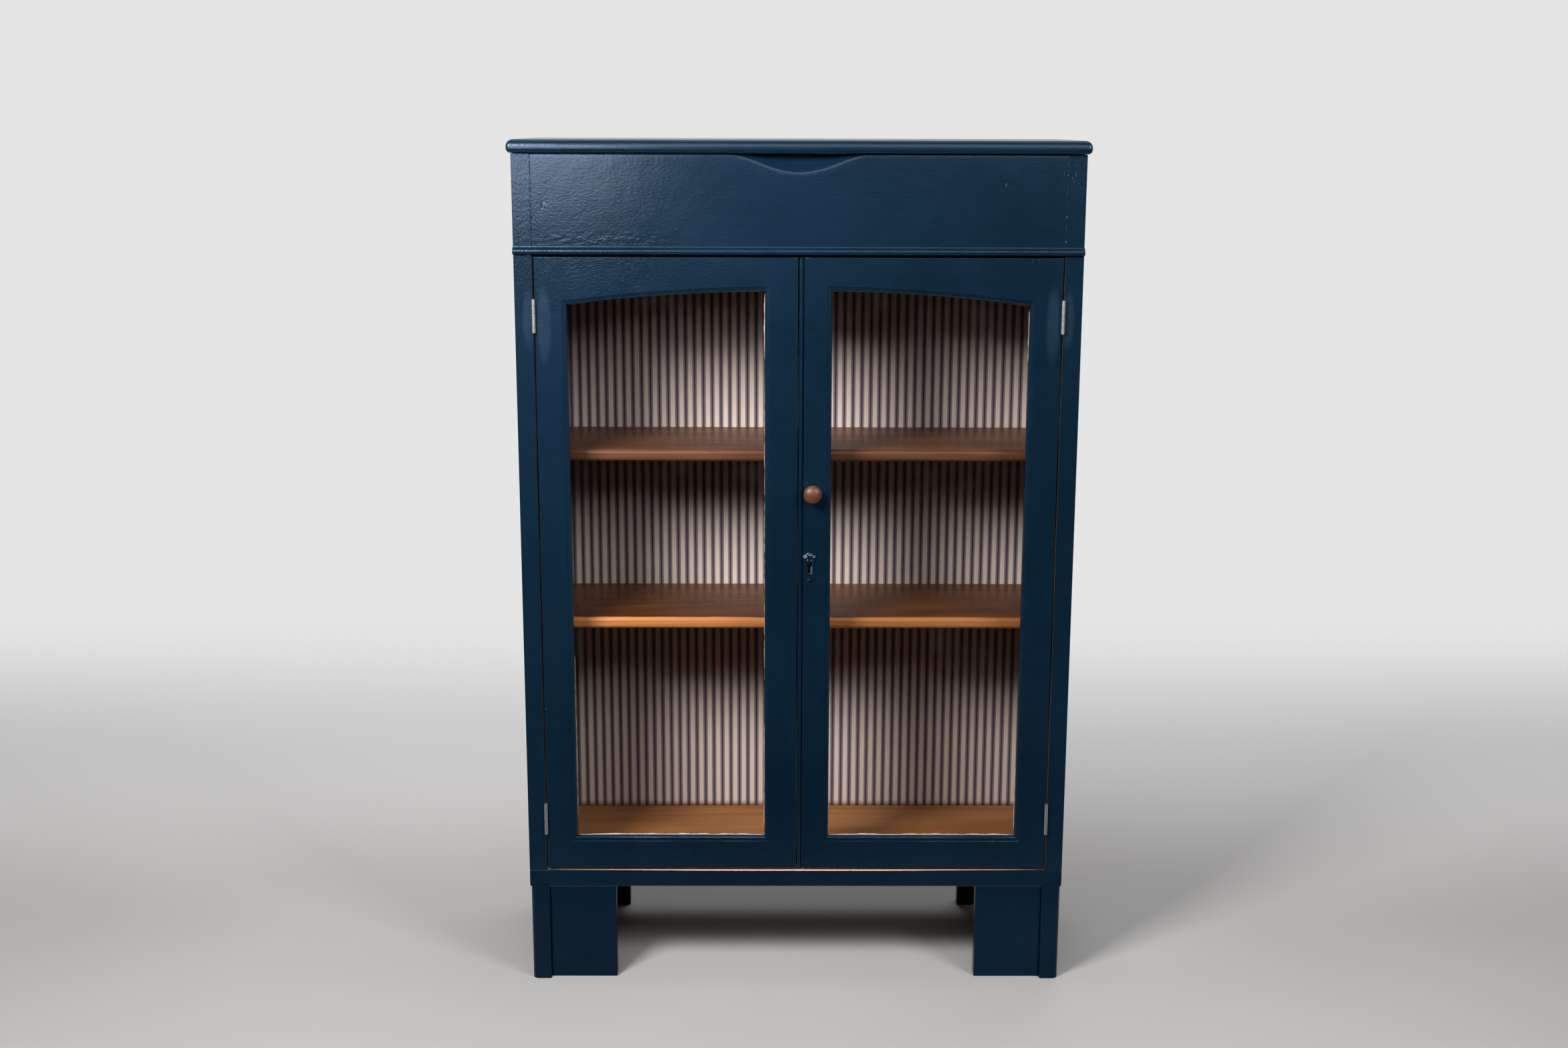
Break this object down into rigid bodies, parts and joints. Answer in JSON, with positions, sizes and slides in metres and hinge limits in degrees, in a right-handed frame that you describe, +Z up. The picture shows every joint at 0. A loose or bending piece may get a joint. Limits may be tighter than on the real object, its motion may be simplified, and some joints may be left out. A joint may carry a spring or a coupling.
{
  "type": "glass display cabinet",
  "caption": "Free-standing painted wooden display cabinet with arched glazed doors, shelves, a cloth-lined back, a lift-up lid over a shallow compartment, and bracket feet.",
  "frame": {"origin": "on the floor, under the middle of the outer box", "axes": "+Z up, -Y towards the front (doors), +X to the viewer's right"},
  "size_m": [0.781, 0.3046, 1.2],
  "materials": {
    "blue_paint": "satin dark blue paint, brushed on",
    "golden_pine": "bare golden pine",
    "brown_shelf_wood": "stained brown, waxed",
    "reddish_knob_wood": "turned, oiled",
    "striped_ticking": "woven ticking stripe",
    "clear_glass": "clear",
    "glazing_putty": "off-white, hard",
    "worn_steel": "worn",
    "old_brass": "aged",
    "painted_brass": "painted over, worn on the raised edges"
  },
  "bodies": {
    "carcass": {"side_left": "blue_paint", "side_right": "blue_paint", "bottom_board": "blue_paint", "frieze_board": "blue_paint", "waist_moulding": "blue_paint", "back_board": "blue_paint", "compartment_floor": "golden_pine", "back_panel": "golden_pine", "ticking_lining": "striped_ticking", "shelf_lower": "brown_shelf_wood", "shelf_upper": "brown_shelf_wood", "foot_side_front_left": "blue_paint", "foot_side_front_right": "blue_paint", "foot_side_back_left": "blue_paint", "foot_side_back_right": "blue_paint", "foot_bracket_front_left": "blue_paint", "foot_bracket_front_right": "blue_paint", "foot_bracket_back_left": "blue_paint", "foot_bracket_back_right": "blue_paint", "foot_block_front_left": "golden_pine", "foot_block_front_right": "golden_pine", "foot_block_back_left": "golden_pine", "foot_block_back_right": "golden_pine", "hinge_upper_left_carcass_leaf": "worn_steel", "hinge_lower_left_carcass_leaf": "worn_steel", "hinge_upper_right_carcass_leaf": "worn_steel", "hinge_lower_right_carcass_leaf": "worn_steel", "hinge_upper_left_pin": "worn_steel", "hinge_lower_left_pin": "worn_steel", "hinge_upper_right_pin": "worn_steel", "hinge_lower_right_pin": "worn_steel", "lid_hinge_left_carcass_leaf": "worn_steel", "lid_hinge_right_carcass_leaf": "worn_steel", "lid_hinge_left_pin": "worn_steel", "lid_hinge_right_pin": "worn_steel"},
    "lid": {"lid_board": "blue_paint", "lid_hinge_left_lid_leaf": "worn_steel", "lid_hinge_right_lid_leaf": "worn_steel"},
    "left_door": {"door_left_hinge_stile": "blue_paint", "door_left_meeting_stile": "blue_paint", "door_left_top_rail": "blue_paint", "door_left_bottom_rail": "blue_paint", "door_left_glass": "clear_glass", "door_left_putty": "glazing_putty", "hinge_upper_left_door_leaf": "worn_steel", "hinge_lower_left_door_leaf": "worn_steel", "bolt_guide": "old_brass"},
    "door_bolt": {"bolt_rod": "old_brass"},
    "right_door": {"door_right_hinge_stile": "blue_paint", "door_right_meeting_stile": "blue_paint", "door_right_top_rail": "blue_paint", "door_right_bottom_rail": "blue_paint", "door_right_glass": "clear_glass", "door_right_putty": "glazing_putty", "hinge_upper_right_door_leaf": "worn_steel", "hinge_lower_right_door_leaf": "worn_steel", "knob": "reddish_knob_wood", "keyhole_plate": "painted_brass", "lock_case": "old_brass"},
    "lock_bolt": {"lock_bolt": "old_brass"}
  },
  "joints": [
    {"name": "lid_hinge", "type": "hinge", "parent": "carcass", "child": "lid", "pos_m": [0, 0.14985, 1.1818], "axis": [-1, 0, 0], "range_deg": [0, 100]},
    {"name": "left_door_hinge", "type": "hinge", "parent": "carcass", "child": "left_door", "pos_m": [-0.359, -0.13095, 0.169], "axis": [0, 0, -1], "range_deg": [0, 175]},
    {"name": "right_door_hinge", "type": "hinge", "parent": "carcass", "child": "right_door", "pos_m": [0.359, -0.13095, 0.169], "axis": [0, 0, 1], "range_deg": [0, 175]},
    {"name": "lock_bolt_slide", "type": "slide", "parent": "right_door", "child": "lock_bolt", "axis": [-1, 0, 0], "range_m": [0, 0.009]},
    {"name": "door_bolt_slide", "type": "slide", "parent": "left_door", "child": "door_bolt", "axis": [0, 0, 1], "range_m": [0, 0.012]}
  ]
}
